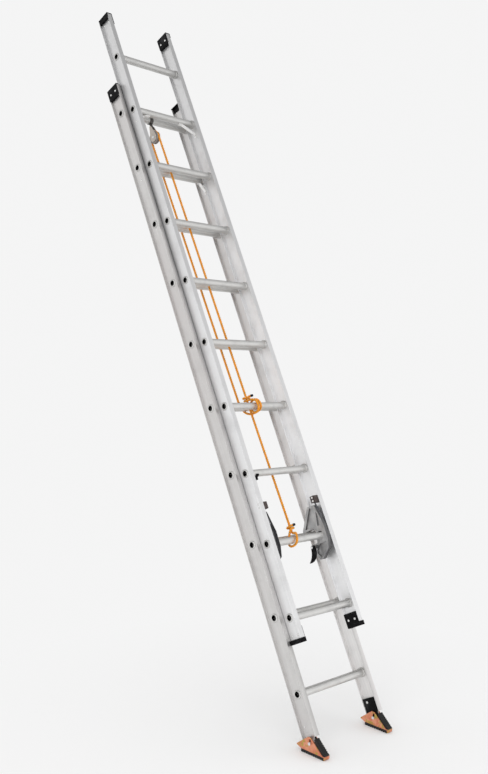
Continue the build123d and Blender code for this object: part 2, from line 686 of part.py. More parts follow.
axle = rod(AXLE_RADIUS, -cheek_out, cheek_out)
axle += rod(AXLE_RADIUS + 2, cheek_out, cheek_out + CHEEK)
axle += rod(AXLE_RADIUS + 2, -cheek_out - CHEEK, -cheek_out)
nodes["pulley_axle"] = pulley_place * axle

strap_radius = RUNG_RADIUS + CAP_GAP
hoop = Circle(strap_radius + STRAP) - Circle(strap_radius)
hoop_z = PULLEY_DROP
strap_face = Pos(0, hoop_z) * hoop
neck_low = cheek_top - STRAP_NECK
strap_face += flat(-STRAP, STRAP, neck_low, hoop_z - strap_radius - STRAP / 2)
strap = extrude(Plane.YZ * strap_face, amount=cheek_in, both=True)
nodes["pulley_strap"] = pulley_place * strap


# Rope: one cord from the low tie on the fly, up the front, over the sheave, down behind the
# rungs and twice round the middle fly rung. Both ends are hitched round the front run. Points
# are (X, Y, Z) in the ladder's frame, with Z taken from the rung or axle that holds the rope.
low = fly_rung_z(LOCK_RUNG)
mid = fly_rung_z(MID_RUNG)
front_start = axle_z - 10
low_end = low + 48
mid_end = mid + 54
FRONT_RUN = [
    (PULLEY_X, -PITCH_RADIUS, front_start - ROPE_JOIN_GAP),
    (-3.5, -31.5, mid + 48),
    (14, -33, low_end),
]
FRONT_RADII = [2000]
REAR_RUN = [
    (PULLEY_X, -PITCH_RADIUS, front_start),
    (PULLEY_X, -PITCH_RADIUS, axle_z + PITCH_RADIUS),
    (PULLEY_X, PITCH_RADIUS, axle_z + PITCH_RADIUS),
    (PULLEY_X, PITCH_RADIUS, axle_z - 50),
    (5, PITCH_RADIUS, mid_end),
]
REAR_RADII = [SHEAVE_ARC, SHEAVE_ARC, 800]
LOW_TIE = [
    (14, -33, low_end - ROPE_JOIN_GAP),
    (14.4, -33.2, low + 31),
    (-20, -91, low + 24),
    (-38, -91, low - 26),
    (-42, -41, low - 26),
    (-14, -40, low + 27),
    (1.7, -45, low + 51),
    (25.7, -45, low + 54),
    (25.7, -21, low + 57),
    (1.7, -21, low + 60),
    (1.7, -45, low + 63),
    (27, -52, low + 66),
]
LOW_RADII = [17, 30, 22, 21, 40, 11.8, 11.8, 11.8, 11.8, 11.8]
MID_TIE = [
    (5, PITCH_RADIUS, mid_end - ROPE_JOIN_GAP),
    (13, PITCH_RADIUS, mid - 14),
    (10, -93, mid - 31),
    (4, -93, mid + 26),
    (-1, -43, mid + 30),
    (-5, -43, mid - 29),
    (-8.5, -93, mid - 30),
    (-9.5, -93, mid + 26),
    (-15.5, -19.5, mid + 40),
    (8.5, -19.5, mid + 43),
    (8.5, -43.5, mid + 46),
    (-15.5, -43.5, mid + 49),
    (-15.5, -19.5, mid + 52),
    (8.5, -19.5, mid + 55),
    (16, -40, mid + 58.5),
    (30, -44, mid + 59.5),
]
MID_RADII = [30, 24, 24, 22, 22, 22, 22, 11.8, 11.8, 11.8, 11.8, 11.8, 11.8, 12]


def self_gap(path):
    """Least gap between two parts of a cord that lie over three diameters apart along it."""
    steps = round(path.length / (ROPE_RADIUS / 2))
    skip = round(6 * ROPE_RADIUS * steps / path.length)
    spots = [path @ (step / steps) for step in range(steps + 1)]
    apart = [(b - a).length for index, a in enumerate(spots) for b in spots[index + skip:]]
    return min(apart) - 2 * ROPE_RADIUS


def cord(name, points, radii):
    """A round cord on straight runs joined by tangent arcs."""
    path = FilletPolyline(*points, radius=radii)
    start = Plane(origin=path @ 0, z_dir=path % 0)
    tube = sweep(start * Circle(ROPE_RADIUS), path=path)
    expected = path.length * Circle(ROPE_RADIUS).area
    print(f"{name}: radii {radii}, length {path.length:.1f} mm, gap to itself {self_gap(path):.2f} mm, "
          f"volume over section times length {tube.volume / expected:.4f}")
    nodes[name] = leaned * tube


cord("rope_front_run", FRONT_RUN, FRONT_RADII)
cord("rope_rear_run", REAR_RUN, REAR_RADII)
cord("rope_low_tie", LOW_TIE, LOW_RADII)
cord("rope_mid_tie", MID_TIE, MID_RADII)


# Rope keeper: a springy plastic clip snapped on a fly rung from behind, with a hanging tab.
clip_ring = Circle(RUNG_RADIUS + CLIP_GAP + CLIP_WALL) - Circle(RUNG_RADIUS + CLIP_GAP)
clip_reach = 3 * RUNG_RADIUS
clip_mouth = make_face(Polyline(
    (0, 0),
    (clip_reach * tan(radians(CLIP_OPEN / 2)), clip_reach),
    (-clip_reach * tan(radians(CLIP_OPEN / 2)), clip_reach),
    close=True,
))
clip_face = clip_ring - Rot(0, 0, CLIP_TURN) * clip_mouth
tab_top = -RUNG_RADIUS - CLIP_GAP - CLIP_WALL / 2
clip_face += flat(-CLIP_WALL, CLIP_WALL, tab_top - CLIP_TAB, tab_top)
clip = extrude(Plane.YZ * clip_face, amount=CLIP_WIDTH)
nodes["rope_keeper"] = leaned * Pos(CLIP_INSET - fly_inner, fly_y, fly_rung_z(CLIP_RUNG)) * clip

os.makedirs("parts", exist_ok=True)
for name, shape in nodes.items():
    export_step(shape, f"parts/{name}.step")
print(f"{len(nodes)} nodes, pivot height {sole_drop:.1f} mm, fly top {fly_top:.1f} mm")
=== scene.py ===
import math

import bmesh
import bpy
from mathutils import Matrix, Vector


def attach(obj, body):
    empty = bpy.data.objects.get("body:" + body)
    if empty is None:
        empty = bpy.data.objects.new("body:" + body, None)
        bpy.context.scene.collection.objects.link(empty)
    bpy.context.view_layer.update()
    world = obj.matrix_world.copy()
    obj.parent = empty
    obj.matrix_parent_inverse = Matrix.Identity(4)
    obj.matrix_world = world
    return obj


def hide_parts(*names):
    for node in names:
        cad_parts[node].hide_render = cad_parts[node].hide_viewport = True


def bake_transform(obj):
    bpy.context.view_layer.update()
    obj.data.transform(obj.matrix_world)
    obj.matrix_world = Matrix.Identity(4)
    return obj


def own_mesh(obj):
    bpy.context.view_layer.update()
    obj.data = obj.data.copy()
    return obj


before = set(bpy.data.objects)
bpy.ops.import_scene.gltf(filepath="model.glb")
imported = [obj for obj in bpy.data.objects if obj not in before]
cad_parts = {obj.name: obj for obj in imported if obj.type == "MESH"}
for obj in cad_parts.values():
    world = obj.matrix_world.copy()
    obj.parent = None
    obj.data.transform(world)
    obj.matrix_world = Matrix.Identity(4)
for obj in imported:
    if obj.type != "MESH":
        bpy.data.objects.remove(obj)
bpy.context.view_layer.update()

# Rails: four extruded aluminium I-sections with a mill finish. The die leaves fine lines along
# them, handling leaves grey smudges and scratches, and weather dulls them along their length. The
# base pair has a faint warm bloom, and dirt with painted shade in the corner where the fly slides;
# the right base rail has a paler copy of the base finish as painted light.
LEAN = math.radians(28)
PIVOT_HEIGHT = 0.044
ladder = Matrix.Translation((0, 0, PIVOT_HEIGHT)) @ Matrix.Rotation(-LEAN, 4, "X")
BASE_PALE = (0.78, 0.77, 0.76, 1)
BASE_DEEP = (0.64, 0.63, 0.62, 1)
BASE_BLOOM = (0.675, 0.65, 0.64, 1)
# The right base rail's colours are a paler copy of the base pair's: painted light, for its inner web
# seen lit brighter.
BASE_RIGHT_PALE = (0.89, 0.88, 0.87, 1)
BASE_RIGHT_DEEP = (0.74, 0.73, 0.725, 1)
BASE_RIGHT_BLOOM = (0.79, 0.765, 0.755, 1)
FLY_PALE = (0.94, 0.94, 0.945, 1)
FLY_DEEP = (0.83, 0.83, 0.835, 1)
FLY_BLOOM = (0.89, 0.892, 0.90, 1)
SMUDGE_GREY = (0.46, 0.455, 0.45, 1)
SCRATCH_PALE = (0.9, 0.9, 0.89, 1)
BLOOM_STRETCH = (3, 3, 1.1)
DIE_UP = (900, 900, 9)
DIE_ACROSS = (9, 900, 900)
DIE_DEPTH = 0.000012
TRACK_GREY = (0.12, 0.12, 0.12, 1)
TRACK_ACROSS = (0.208, 0.189)
TRACK_FRONT = (-0.030, -0.033)
# Each of these is a span of heights up the ladder, in metres, with the strength at either end.
SPLASH = (1.2, 0.1, 0.0, 0.14)
WEATHER = (1.7, 3.2, 0.0, 0.34)
WEATHER_LOW = (0.6, 2.2, 0.0, 0.3)
TRACK_RISE = (0.5, 2.4, 0.2, 1.0)


def wire(tree, source, target):
    """Feed a socket from another socket, or set it to a plain value."""
    if isinstance(source, bpy.types.NodeSocket):
        tree.links.new(source, target)
    else:
        target.default_value = source


def calc(tree, operation, *terms):
    """One arithmetic step."""
    node = tree.nodes.new("ShaderNodeMath")
    node.operation = operation
    for term, socket in zip(terms, node.inputs):
        wire(tree, term, socket)
    return node.outputs[0]


def weighted(tree, first, first_share, second, second_share):
    """The sum of two values, each times its share."""
    return calc(tree, "ADD", calc(tree, "MULTIPLY", first, first_share),
                calc(tree, "MULTIPLY", second, second_share))


def blend_colour(tree, mask, first, second):
    """The first colour where the mask is 0 and the second where it is 1."""
    node = tree.nodes.new("ShaderNodeMix")
    node.data_type = "RGBA"
    wire(tree, mask, node.inputs["Factor"])
    wire(tree, first, node.inputs["A"])
    wire(tree, second, node.inputs["B"])
    return node.outputs["Result"]


def tinted(tree, colour, mask, strength, tint):
    """The colour with a tint over it where the mask is high, at most at the given strength."""
    return blend_colour(tree, calc(tree, "MULTIPLY", mask, strength), colour, tint)


def spread(tree, value, low, high, out_low=0.0, out_high=1.0):
    """Stretch the span from low to high to a new span, held at its ends."""
    node = tree.nodes.new("ShaderNodeMapRange")
    wire(tree, value, node.inputs["Value"])
    spans = {"From Min": low, "From Max": high, "To Min": out_low, "To Max": out_high}
    for label, number in spans.items():
        node.inputs[label].default_value = number
    return node.outputs["Result"]


def grain(tree, vector, scale, detail=3.0, rough=0.55):
    """Cloudy noise."""
    node = tree.nodes.new("ShaderNodeTexNoise")
    wire(tree, vector, node.inputs["Vector"])
    wire(tree, scale, node.inputs["Scale"])
    node.inputs["Detail"].default_value = detail
    node.inputs["Roughness"].default_value = rough
    return node.outputs["Fac"]


def stretched(tree, vector, scales):
    """Coordinates stretched by a factor on each axis."""
    node = tree.nodes.new("ShaderNodeVectorMath")
    node.operation = "MULTIPLY"
    wire(tree, vector, node.inputs[0])
    wire(tree, scales, node.inputs[1])
    return node.outputs["Vector"]


def split(tree, vector):
    """The X, Y and Z of a vector."""
    node = tree.nodes.new("ShaderNodeSeparateXYZ")
    tree.links.new(vector, node.inputs[0])
    return node.outputs


def object_coords(tree):
    """A piece's own coordinates, in metres."""
    return tree.nodes.new("ShaderNodeTexCoord").outputs["Object"]


def ladder_coords(tree):
    """Object coordinates turned to the ladder: X across, Y square to the rails, Z up them."""
    turn = tree.nodes.new("ShaderNodeMapping")
    turn.vector_type = "TEXTURE"
    turn.inputs["Location"].default_value = (0, 0, PIVOT_HEIGHT)
    turn.inputs["Rotation"].default_value = (-LEAN, 0, 0)
    tree.links.new(object_coords(tree), turn.inputs["Vector"])
    return turn.outputs["Vector"]


def effect(name, inputs, outputs):
    """An empty shader group with named inputs (label, kind, value) and value outputs."""
    group = bpy.data.node_groups.new(name, "ShaderNodeTree")
    for label, kind, value in inputs:
        socket = group.interface.new_socket(label, in_out="INPUT", socket_type=kind)
        if value is not None:
            socket.default_value = value
    for label in outputs:
        group.interface.new_socket(label, in_out="OUTPUT", socket_type="NodeSocketFloat")
    return group, group.nodes.new("NodeGroupInput").outputs, group.nodes.new("NodeGroupOutput").inputs


def use_effect(tree, group, **values):
    """Place a group in a material, with its own values."""
    node = tree.nodes.new("ShaderNodeGroup")
    node.node_tree = group
    for label, value in values.items():
        wire(tree, value, node.inputs[label.replace("_", " ")])
    return node.outputs


die_lines, lines_in, lines_out = effect("die_lines", [
    ("Vector", "NodeSocketVector", None),
    ("Across", "NodeSocketVector", DIE_UP),
], ["Lines", "Bands"])
line_coords = stretched(die_lines, lines_in["Vector"], lines_in["Across"])
fine_lines = grain(die_lines, line_coords, scale=1.0, detail=4.0, rough=0.65)
die_lines.links.new(fine_lines, lines_out["Lines"])
broad_bands = grain(die_lines, line_coords, scale=0.12, detail=2.0)
die_lines.links.new(broad_bands, lines_out["Bands"])

handling, handling_in, handling_out = effect("handling", [
    ("Vector", "NodeSocketVector", None),
    ("Size", "NodeSocketFloat", 9.0),
    ("Scratch size", "NodeSocketVector", (60, 60, 14)),
], ["Smudge", "Scratch"])
cloud = grain(handling, handling_in["Vector"], handling_in["Size"], detail=6.0, rough=0.62)
handling.links.new(spread(handling, cloud, low=0.5, high=0.74), handling_out["Smudge"])
scratch_coords = stretched(handling, handling_in["Vector"], handling_in["Scratch size"])
contour = calc(handling, "SUBTRACT", grain(handling, scratch_coords, scale=1.0, detail=2.0), 0.5)
thin = spread(handling, calc(handling, "ABSOLUTE", contour), low=0.012, high=0.003)
cluster = grain(handling, handling_in["Vector"], scale=5.0, detail=2.0)
patch = spread(handling, cluster, low=0.52, high=0.66)
handling.links.new(calc(handling, "MULTIPLY", thin, patch), handling_out["Scratch"])


def bare_material(name):
    """A new node material with its tree and its shader's inputs."""
    material = bpy.data.materials.new(name)
    material.use_nodes = True
    tree = material.node_tree
    return material, tree, tree.nodes["Principled BSDF"].inputs


def raise_surface(tree, shader, height, depth):
    """Fine relief from a height value, depth in metres."""
    bump = tree.nodes.new("ShaderNodeBump")
    bump.inputs["Distance"].default_value = depth
    wire(tree, height, bump.inputs["Height"])
    tree.links.new(bump.outputs["Normal"], shader["Normal"])


def aged(tree, place, colour, wear):
    """The colour greyed along the ladder, from wear's first height to its second."""
    return blend_colour(tree, spread(tree, split(tree, place)["Z"], *wear), colour, SMUDGE_GREY)


def track_dirt(tree, place, colour):
    """The colour darkened by dirt and painted shade on a base flange, in the corner beside the fly web.
    """
    axes = split(tree, place)
    across = spread(tree, calc(tree, "ABSOLUTE", axes["X"]), *TRACK_ACROSS)
    corner = calc(tree, "MULTIPLY", across, spread(tree, axes["Y"], *TRACK_FRONT))
    mask = calc(tree, "MULTIPLY", corner, spread(tree, axes["Z"], *TRACK_RISE))
    return blend_colour(tree, mask, colour, TRACK_GREY)


def mill_aluminium(name, pale, deep, bloom, rough, wear, die=DIE_UP, metallic=0.85, track=False):
    """Extruded aluminium, with die lines along rails or across them."""
    material, tree, shader = bare_material(name)
    place = ladder_coords(tree)
    lines = use_effect(tree, die_lines, Vector=place, Across=die)
    marks = use_effect(tree, handling, Vector=place)
    tone = weighted(tree, lines["Lines"], 0.7, lines["Bands"], 0.5)
    colour = blend_colour(tree, spread(tree, tone, low=0.4, high=0.8), deep, pale)
    drift = grain(tree, stretched(tree, place, BLOOM_STRETCH), scale=1.0, detail=2.0)
    warm = spread(tree, drift, low=0.38, high=0.62)
    colour = tinted(tree, colour, warm, strength=0.75, tint=bloom)
    colour = aged(tree, place, colour, wear)
    colour = tinted(tree, colour, marks["Smudge"], strength=0.22, tint=SMUDGE_GREY)
    colour = tinted(tree, colour, marks["Scratch"], strength=0.5, tint=SCRATCH_PALE)
    # Painted shade with dirt: the base flange's corner beside the fly web is darkened.
    if track:
        colour = track_dirt(tree, place, colour)
    wire(tree, colour, shader["Base Color"])
    wire(tree, metallic, shader["Metallic"])
    dull = weighted(tree, lines["Lines"], 0.16, marks["Smudge"], 0.1)
    wire(tree, calc(tree, "ADD", dull, rough), shader["Roughness"])
    raise_surface(tree, shader, lines["Lines"], DIE_DEPTH)
    return material


def dress(material, *names):
    """Give CAD nodes a finish."""
    for node_name in names:
        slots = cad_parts[node_name].data.materials
        slots.clear()
        slots.append(material)


base_aluminium = mill_aluminium("base_rail_aluminium", BASE_PALE, BASE_DEEP, BASE_BLOOM,
                                rough=0.32, wear=SPLASH, track=True)
# Painted light: the right base rail takes the paler copy of the base finish.
base_right_aluminium = mill_aluminium("base_right_aluminium", BASE_RIGHT_PALE, BASE_RIGHT_DEEP,
                                      BASE_RIGHT_BLOOM, rough=0.32, wear=WEATHER_LOW, track=True)
fly_aluminium = mill_aluminium("fly_rail_aluminium", FLY_PALE, FLY_DEEP, FLY_BLOOM,
                               rough=0.3, wear=WEATHER)
dress(base_aluminium, "base_rail_left")
dress(base_right_aluminium, "base_rail_right")
dress(fly_aluminium, "fly_rail_left", "fly_rail_right")

# Rungs: hollow extruded bars with a grooved flat tread, swaged into the webs and open at their
# ends. The tread, and more so the grooves between its ribs, are darkened by boot dirt and painted
# shade; the underside gets painted shade, and the bores are painted black as shade.
RUNGS = range(1, 11)
RUNG_PITCH = 0.3048
RUNG_RADIUS = 0.017
RUNG_BORE = 0.0115
TREAD_HEIGHT = 0.013
TREAD_TILT = math.radians(14.5)
BASE_RUNG = (0.0, 0.185)
FLY_RUNG = (-0.066, 0.1660)
RUNG_DIE = (8, 800, 800)
RUNG_PALE = (0.82, 0.815, 0.80, 1)
RUNG_DEEP = (0.70, 0.695, 0.68, 1)
RUNG_DIRT = (0.30, 0.295, 0.28, 1)
RUNG_SCRATCH = (0.88, 0.88, 0.87, 1)
# Painted shade: the inside of each rung's bore is coloured near-black.
BORE_BLACK = (0.002, 0.002, 0.002, 1)


def rung_aluminium(name, centre):
    """The rung finish, which finds its place round the nearest rung's axis."""
    material, tree, shader = bare_material(name)
    place = ladder_coords(tree)
    lines = use_effect(tree, die_lines, Vector=place, Across=RUNG_DIE)
    marks = use_effect(tree, handling, Vector=place, Size=16.0, Scratch_size=(16, 80, 80))
    axes = split(tree, place)
    side = calc(tree, "SUBTRACT", axes["Y"], centre[0])
    rise = calc(tree, "SUBTRACT", axes["Z"], centre[1])
    up = calc(tree, "WRAP", rise, RUNG_PITCH / 2, -RUNG_PITCH / 2)
    reach = calc(tree, "SQRT", weighted(tree, side, side, up, up))
    above = weighted(tree, up, math.cos(TREAD_TILT), side, -math.sin(TREAD_TILT))
    below_ribs = calc(tree, "SUBTRACT", TREAD_HEIGHT, above)
    tread = spread(tree, below_ribs, low=0.0012, high=0.0002)
    groove = calc(tree, "MULTIPLY", spread(tree, below_ribs, low=0.0001, high=0.0005),
                  spread(tree, below_ribs, low=0.0016, high=0.001))
    under = spread(tree, above, low=-0.006, high=-RUNG_RADIUS)
    colour = blend_colour(tree, spread(tree, lines["Lines"], low=0.3, high=0.7), RUNG_DEEP, RUNG_PALE)
    colour = aged(tree, place, colour, WEATHER)
    colour = tinted(tree, colour, marks["Smudge"], strength=0.35, tint=SMUDGE_GREY)
    # Boot dirt and painted shade darken the tread and its grooves; painted shade darkens the underside.
    colour = tinted(tree, colour, tread, strength=0.35, tint=RUNG_DIRT)
    colour = tinted(tree, colour, groove, strength=0.7, tint=RUNG_DIRT)
    colour = tinted(tree, colour, under, strength=0.35, tint=RUNG_DIRT)
    colour = tinted(tree, colour, marks["Scratch"], strength=0.4, tint=RUNG_SCRATCH)
    # Painted shade: the bore's wall turns black and loses its metal.
    bore = spread(tree, reach, low=RUNG_BORE + 0.0008, high=RUNG_BORE + 0.0003)
    wire(tree, blend_colour(tree, bore, colour, BORE_BLACK), shader["Base Color"])
    wire(tree, spread(tree, bore, low=0, high=1, out_low=0.85, out_high=0.0), shader["Metallic"])
    wire(tree, 0.1, shader["Specular IOR Level"])
    dull = weighted(tree, lines["Lines"], 0.16, bore, 0.4)
    wire(tree, calc(tree, "ADD", dull, 0.42), shader["Roughness"])
    raise_surface(tree, shader, lines["Lines"], DIE_DEPTH)
    return material


dress(rung_aluminium("base_rung_aluminium", BASE_RUNG), *[f"base_rung_{n}" for n in RUNGS])
dress(rung_aluminium("fly_rung_aluminium", FLY_RUNG), *[f"fly_rung_{n}" for n in RUNGS])

# End caps, boots and rope clip: black moulded plastic with a fine spark texture, rubbed grey
# in patches. The caps plug the rail ends and the boots line the rails where the shoes bolt on.
SIDES = ("left", "right")
PLASTIC_BLACK = (0.004, 0.004, 0.0045, 1)
PLASTIC_RUBBED = (0.05, 0.05, 0.052, 1)
PLASTIC_SCRATCH = (0.12, 0.12, 0.12, 1)


def moulded(name, dark, rubbed, rough):
    """Moulded plastic with a spark-eroded texture."""
    material, tree, shader = bare_material(name)
    place = ladder_coords(tree)
    spark = grain(tree, place, scale=1400.0, detail=2.0)
    marks = use_effect(tree, handling, Vector=place, Size=26.0, Scratch_size=(150, 150, 40))
    colour = tinted(tree, dark, marks["Smudge"], strength=0.6, tint=rubbed)
    colour = tinted(tree, colour, marks["Scratch"], strength=0.5, tint=PLASTIC_SCRATCH)
    wire(tree, colour, shader["Base Color"])
    dull = calc(tree, "ADD", spark, marks["Smudge"])
    dull = spread(tree, dull, low=0.3, high=1.5, out_low=rough, out_high=rough + 0.25)
    wire(tree, dull, shader["Roughness"])
    wire(tree, 0.06, shader["Specular IOR Level"])
    raise_surface(tree, shader, spark, depth=0.00005)
    return material


black_plastic = moulded("black_plastic", PLASTIC_BLACK, PLASTIC_RUBBED, rough=0.36)
for side in SIDES:
    dress(black_plastic, f"base_top_cap_{side}", f"fly_top_cap_{side}", f"fly_foot_cap_{side}")
    dress(black_plastic, f"shoe_boot_{side}")
dress(black_plastic, "rope_keeper")

# Rivets: aluminium blind rivets through the webs, with a domed head pulled down on one side,
# the snapped mandrel sunk in its middle, and an upset bulb on the other side.
HEAD_RADIUS = 0.005
HEAD_HEIGHT = 0.002
HEAD_RIM = 0.3
HEAD_FLAT = 0.35
HEAD_STEPS = 5
BULB_RADIUS = 0.004
BULB_HEIGHT = 0.001
MANDREL_RADIUS = 0.0014
ROUND_STEPS = 20
RIVET_REACH = 0.011
END_BAND = 0.0021
RIVET_BRIGHT = (0.86, 0.86, 0.85, 1)
RIVET_DULL = (0.6, 0.6, 0.59, 1)
to_ladder = ladder.inverted()


def lofted(name, rings):
    """A closed mesh through rings of points. A ring of one point makes a tip; other ends are capped."""
    shape = bmesh.new()
    loops = [[shape.verts.new(point) for point in ring] for ring in rings]
    for low, high in zip(loops, loops[1:]):
        count = max(len(low), len(high))
        for step in range(count):
            after = step + 1
            corners = (low[step % len(low)], high[step % len(high)],
                       high[after % len(high)], low[after % len(low)])
            shape.faces.new(list(dict.fromkeys(corners)))
    for end in (loops[0], loops[-1]):
        if len(end) > 1:
            shape.faces.new(end)
    bmesh.ops.recalc_face_normals(shape, faces=shape.faces)
    mesh = bpy.data.meshes.new(name)
    shape.to_mesh(mesh)
    shape.free()
    return mesh


def circle(count):
    """The cosine and sine of even angles round a circle."""
    angles = [2 * math.pi * step / count for step in range(count)]
    return [(math.cos(angle), math.sin(angle)) for angle in angles]


def turned(name, profile):
    """A closed shape turned round X from (x, radius) points that start and end on the axis."""
    rings = []
    for x, radius in profile:
        spokes = circle(ROUND_STEPS) if radius > 0 else [(0, 0)]
        rings.append([(x, radius * y, radius * z) for y, z in spokes])
    return lofted(name, rings)


def place_object(name, data):
    """A new object in the scene, at the origin."""
    made = bpy.data.objects.new(name, data)
    bpy.context.scene.collection.objects.link(made)
    return made


def dome_points():
    """Points on a rivet head, from its rim to the edge of its hollow middle."""
    points = []
    for step in range(HEAD_STEPS + 1):
        angle = math.pi / 2 * step / HEAD_STEPS
        height = HEAD_RIM + (1 - HEAD_RIM) * math.sin(angle)
        radius = HEAD_FLAT + (1 - HEAD_FLAT) * math.cos(angle)
        points.append((HEAD_HEIGHT * height, HEAD_RADIUS * radius))
    return points


head_profile = [
    (0, 0),
    (0, HEAD_RADIUS),
    *dome_points(),
    (HEAD_HEIGHT, MANDREL_RADIUS),
    (HEAD_HEIGHT * 0.55, MANDREL_RADIUS * 0.9),
    (HEAD_HEIGHT * 0.7, 0),
]
bulb_profile = [
    (0, 0),
    (0, BULB_RADIUS),
    (BULB_HEIGHT * 0.6, BULB_RADIUS),
    (BULB_HEIGHT, BULB_RADIUS * 0.8),
    (BULB_HEIGHT, 0),
]
rivet_head = place_object("rivet_head_pattern", turned("rivet_head_pattern", head_profile))
rivet_bulb = place_object("rivet_bulb_pattern", turned("rivet_bulb_pattern", bulb_profile))


def rivet_metal(name):
    """Bright rivet aluminium, smudged by handling."""
    material, tree, shader = bare_material(name)
    place = ladder_coords(tree)
    marks = use_effect(tree, handling, Vector=place, Size=90.0, Scratch_size=(400, 400, 400))
    wire(tree, blend_colour(tree, marks["Smudge"], RIVET_BRIGHT, RIVET_DULL), shader["Base Color"])
    wire(tree, 0.85, shader["Metallic"])
    dull = spread(tree, marks["Smudge"], low=0, high=1, out_low=0.24, out_high=0.42)
    wire(tree, dull, shader["Roughness"])
    raise_surface(tree, shader, grain(tree, place, scale=900.0), depth=0.00003)
    return material


def geometry_tree(name, inputs):
    """An empty geometry tree: its group, input node, output node and the inputs' identifiers."""
    group = bpy.data.node_groups.new(name, "GeometryNodeTree")
    group.interface.new_socket("Geometry", in_out="INPUT", socket_type="NodeSocketGeometry")
    keys = {}
    for label, kind in inputs:
        keys[label] = group.interface.new_socket(label, in_out="INPUT", socket_type=kind).identifier
    group.interface.new_socket("Geometry", in_out="OUTPUT", socket_type="NodeSocketGeometry")
    return group, group.nodes.new("NodeGroupInput"), group.nodes.new("NodeGroupOutput"), keys


def chain(group, kind, source):
    """A geometry node fed by the one before it."""
    node = group.nodes.new(kind)
    group.links.new(source, node.inputs[0])
    return node


def named_value(group, name, kind):
    """A point's stored value."""
    node = group.nodes.new("GeometryNodeInputNamedAttribute")
    node.data_type = kind
    node.inputs["Name"].default_value = name
    return node.outputs["Attribute"]


def grown(name, mesh, group, keys, values):
    """Run a geometry tree on a mesh and keep the result as a plain mesh object."""
    made = place_object(name, mesh)
    modifier = made.modifiers.new("grow", "NODES")
    modifier.node_group = group
    for label, value in values.items():
        modifier[keys[label]] = value
    depsgraph = bpy.context.evaluated_depsgraph_get()
    result = bpy.data.meshes.new_from_object(made.evaluated_get(depsgraph))
    made.modifiers.remove(modifier)
    made.data = result
    return made


rivet_aluminium = rivet_metal("rivet_aluminium")
rivet_set, set_in, set_out, rivet_keys = geometry_tree("rivet_set", [
    ("Head", "NodeSocketObject"),
    ("Bulb", "NodeSocketObject"),
    ("Finish", "NodeSocketMaterial"),
])
turn_read = named_value(rivet_set, "turn", "FLOAT_VECTOR")
bulb_read = named_value(rivet_set, "bulb", "BOOLEAN")
not_bulb = chain(rivet_set, "FunctionNodeBooleanMath", bulb_read)
not_bulb.operation = "NOT"
both_ends = rivet_set.nodes.new("GeometryNodeJoinGeometry")
for label, chosen in (("Head", not_bulb.outputs[0]), ("Bulb", bulb_read)):
    pattern = chain(rivet_set, "GeometryNodeObjectInfo", set_in.outputs[label])
    set_end = chain(rivet_set, "GeometryNodeInstanceOnPoints", set_in.outputs["Geometry"])
    rivet_set.links.new(chosen, set_end.inputs["Selection"])
    rivet_set.links.new(pattern.outputs["Geometry"], set_end.inputs["Instance"])
    rivet_set.links.new(turn_read, set_end.inputs["Rotation"])
    rivet_set.links.new(set_end.outputs["Instances"], both_ends.inputs[0])
real = chain(rivet_set, "GeometryNodeRealizeInstances", both_ends.outputs[0])
finished = chain(rivet_set, "GeometryNodeSetMaterial", real.outputs[0])
rivet_set.links.new(set_in.outputs["Finish"], finished.inputs["Material"])
rivet_set.links.new(finished.outputs[0], set_out.inputs[0])


def rivet_spots(node_name):
    """The CAD rivets' points, in one list for each rivet."""
    groups = []
    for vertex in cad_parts[node_name].data.vertices:
        spot = to_ladder @ vertex.co
        for group in groups:
            first = group[0]
            near = math.hypot(first.y - spot.y, first.z - spot.z) < RIVET_REACH
            if near and first.x * spot.x > 0:
                group.append(spot)
                break
        else:
            groups.append([spot])
    return groups


def rivet_places(node_name):
    """Each rivet's end points, whether they are bulbs, and the ways they face."""
    ends = []
    for group in rivet_spots(node_name):
        y, z = [(min(p[axis] for p in group) + max(p[axis] for p in group)) / 2 for axis in (1, 2)]
        for end, facing in ((min(p.x for p in group), -1), (max(p.x for p in group), 1)):
            rim = max(math.hypot(p.y - y, p.z - z) for p in group if abs(p.x - end) < END_BAND)
            bulb = rim < (HEAD_RADIUS + BULB_RADIUS) / 2
            seat = end - facing * (BULB_HEIGHT if bulb else HEAD_HEIGHT)
            ends.append((ladder @ Vector((seat, y, z)), bulb, facing))
    return ends


for section in ("base", "fly"):
    ends = rivet_places(f"{section}_rivets")
    points = bpy.data.meshes.new(f"{section}_rivet_points")
    points.from_pydata([end[0] for end in ends], [], [])
    bulbs = points.attributes.new("bulb", "BOOLEAN", "POINT")
    turns = points.attributes.new("turn", "FLOAT_VECTOR", "POINT")
    for index, (_, bulb, facing) in enumerate(ends):
        bulbs.data[index].value = bulb
        turns.data[index].vector = (0, 0, 0 if facing > 0 else math.pi)
    rivets = grown(f"{section}_blind_rivets", points, rivet_set, rivet_keys,
                   {"Head": rivet_head, "Bulb": rivet_bulb, "Finish": rivet_aluminium})
    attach(rivets, section)
    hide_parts(f"{section}_rivets")
for pattern in (rivet_head, rivet_bulb):
    bpy.data.objects.remove(pattern)

# Rung braces: rolled aluminium bars bent from under a rung to the web and riveted there. They
# are pickled nearly white.
BRACE_PALE = (0.95, 0.95, 0.945, 1)
BRACE_DEEP = (0.88, 0.88, 0.875, 1)
brace_aluminium = mill_aluminium("brace_aluminium", BRACE_PALE, BRACE_DEEP, BRACE_DEEP,
                                 rough=0.24, wear=SPLASH, die=DIE_ACROSS, metallic=0.4)
dress(brace_aluminium, "base_braces", "fly_braces")

# Shoes: pressed steel stirrups, zinc plated and yellow passivated to a coppery pink with
# yellow-green patches, each swivelling on a bright bolt and bonded to a ribbed rubber sole.
COPPER = (0.62, 0.19, 0.10, 1)
COPPER_PALE = (0.78, 0.34, 0.21, 1)
COPPER_SCRATCH = (0.86, 0.80, 0.72, 1)
PASSIVATE = (0.42, 0.35, 0.06, 1)
RUBBER_BLACK = (0.006, 0.006, 0.006, 1)
RUBBER_DUST = (0.045, 0.043, 0.04, 1)
ZINC_SMUDGE = (0.3, 0.29, 0.27, 1)


